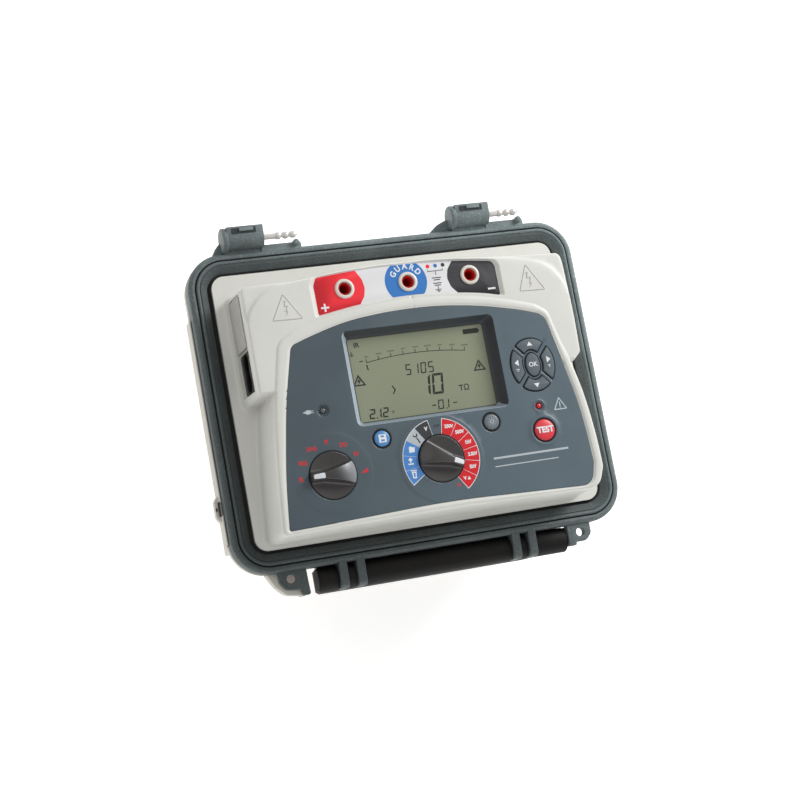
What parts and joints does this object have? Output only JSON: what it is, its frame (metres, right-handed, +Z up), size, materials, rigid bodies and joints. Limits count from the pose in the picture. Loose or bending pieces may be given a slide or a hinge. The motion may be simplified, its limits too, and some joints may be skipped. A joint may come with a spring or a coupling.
{
  "type": "insulation resistance tester",
  "caption": "Portable insulation resistance tester in a hard carrying case with carry handle, hinge pins for a lift-off lid, display, rotary selectors, keypad and recessed test terminals.",
  "frame": {"origin": "centre of the resting plane under the feet, below the centre of the seal rim", "axes": "+Z up out of the panel, +X to the operator's right, +Y towards the lid hinges"},
  "size_m": [0.3228, 0.281, 0.1684],
  "materials": {
    "case_cream": "moulded warm light grey, fine texture",
    "case_dark": "dark green-grey moulded plastic, coarse spark texture",
    "panel_grey": "off-white satin moulding",
    "fascia_slate": "slate blue-grey satin, very fine texture",
    "handle_black": "black moulded, light texture",
    "knob_black": "dark brown-black satin",
    "seal_rubber": "black rubber",
    "pin_steel": "turned stainless",
    "label_print": "printed overlay, white with red, blue and black fields",
    "insert_white": "white pointer insert",
    "ring_cream": "cream terminal ring",
    "liner_red": "translucent red insulating sleeve",
    "contact_brass": "plated contact",
    "button_red": "red moulded button",
    "button_blue": "blue moulded button",
    "button_grey": "grey moulded button",
    "led_red": "red lens",
    "led_clear": "clear lens",
    "display_glass": "clear window",
    "display_panel": "olive reflective liquid crystal panel",
    "board_green": "solder mask",
    "potted_black": "potting compound",
    "cell_wrap": "blue shrink wrap",
    "port_metal": "folded connector shell"
  },
  "bodies": {
    "case": {"case_base": "case_cream", "case_rim": "case_dark", "rim_seal": "seal_rubber", "foot_front_right": "seal_rubber", "foot_front_left": "seal_rubber", "foot_rear_left": "seal_rubber", "foot_rear_right": "seal_rubber", "keypad_mat": "seal_rubber", "hinge_pin_left": "pin_steel", "hinge_pin_right": "pin_steel", "handle_pin_left": "pin_steel", "handle_pin_right": "pin_steel", "panel_screw_1": "pin_steel", "panel_screw_2": "pin_steel", "panel_screw_3": "pin_steel", "panel_screw_4": "pin_steel", "power_inlet": "handle_black", "beeper": "handle_black", "panel_moulding": "panel_grey", "usb_port": "port_metal", "keypad_fascia": "fascia_slate", "terminal_label": "label_print", "socket_positive": "ring_cream", "socket_guard": "ring_cream", "socket_negative": "ring_cream", "liner_positive": "liner_red", "liner_guard": "liner_red", "liner_negative": "liner_red", "contact_positive": "contact_brass", "contact_guard": "contact_brass", "contact_negative": "contact_brass", "board_spacer_1": "contact_brass", "board_spacer_2": "contact_brass", "board_spacer_3": "contact_brass", "board_spacer_4": "contact_brass", "mode_switch": "potted_black", "range_switch": "potted_black", "hv_module": "potted_black", "test_led": "led_red", "charge_led": "led_clear", "lcd_window": "display_glass", "lcd_module": "display_panel", "display_board": "board_green", "main_board": "board_green", "power_supply": "board_green", "battery_pack": "cell_wrap"},
    "handle": {"carry_handle": "handle_black"},
    "mode_selector": {"mode_knob": "knob_black", "mode_pointer": "insert_white"},
    "range_selector": {"range_knob": "knob_black", "range_pointer": "insert_white"},
    "shutter": {"port_shutter": "panel_grey"},
    "save_key": {"save_button": "button_blue"},
    "backlight_key": {"backlight_button": "button_grey"},
    "test_key": {"test_button": "button_red"},
    "up_key": {"nav_up": "button_grey"},
    "down_key": {"nav_down": "button_grey"},
    "left_key": {"nav_left": "button_grey"},
    "right_key": {"nav_right": "button_grey"},
    "ok_key": {"ok_button": "button_grey"}
  },
  "joints": [
    {"name": "handle_swing", "type": "hinge", "parent": "case", "child": "handle", "pos_m": [0, -0.131, 0.104], "axis": [1, 0, 0], "range_deg": [-90, 0]},
    {"name": "mode_turn", "type": "hinge", "parent": "case", "child": "mode_selector", "pos_m": [-0.0847, -0.061, 0.16], "axis": [0, 0, 1], "range_deg": [-180, 0]},
    {"name": "range_turn", "type": "hinge", "parent": "case", "child": "range_selector", "pos_m": [-0.0005, -0.0604, 0.16], "axis": [0, 0, 1], "range_deg": [-22.5, 225]},
    {"name": "shutter_slide", "type": "slide", "parent": "case", "child": "shutter", "axis": [0, -1, 0], "range_m": [0, 0.032]},
    {"name": "save_press", "type": "slide", "parent": "case", "child": "save_key", "axis": [0, 0, -1], "range_m": [0, 0.0012], "stiffness_N_per_m": 300},
    {"name": "backlight_press", "type": "slide", "parent": "case", "child": "backlight_key", "axis": [0, 0, -1], "range_m": [0, 0.0012], "stiffness_N_per_m": 300},
    {"name": "test_press", "type": "slide", "parent": "case", "child": "test_key", "axis": [0, 0, -1], "range_m": [0, 0.0012], "stiffness_N_per_m": 300},
    {"name": "up_press", "type": "slide", "parent": "case", "child": "up_key", "axis": [0, 0, -1], "range_m": [0, 0.0012], "stiffness_N_per_m": 300},
    {"name": "down_press", "type": "slide", "parent": "case", "child": "down_key", "axis": [0, 0, -1], "range_m": [0, 0.0012], "stiffness_N_per_m": 300},
    {"name": "left_press", "type": "slide", "parent": "case", "child": "left_key", "axis": [0, 0, -1], "range_m": [0, 0.0012], "stiffness_N_per_m": 300},
    {"name": "right_press", "type": "slide", "parent": "case", "child": "right_key", "axis": [0, 0, -1], "range_m": [0, 0.0012], "stiffness_N_per_m": 300},
    {"name": "ok_press", "type": "slide", "parent": "case", "child": "ok_key", "axis": [0, 0, -1], "range_m": [0, 0.0012], "stiffness_N_per_m": 300}
  ]
}
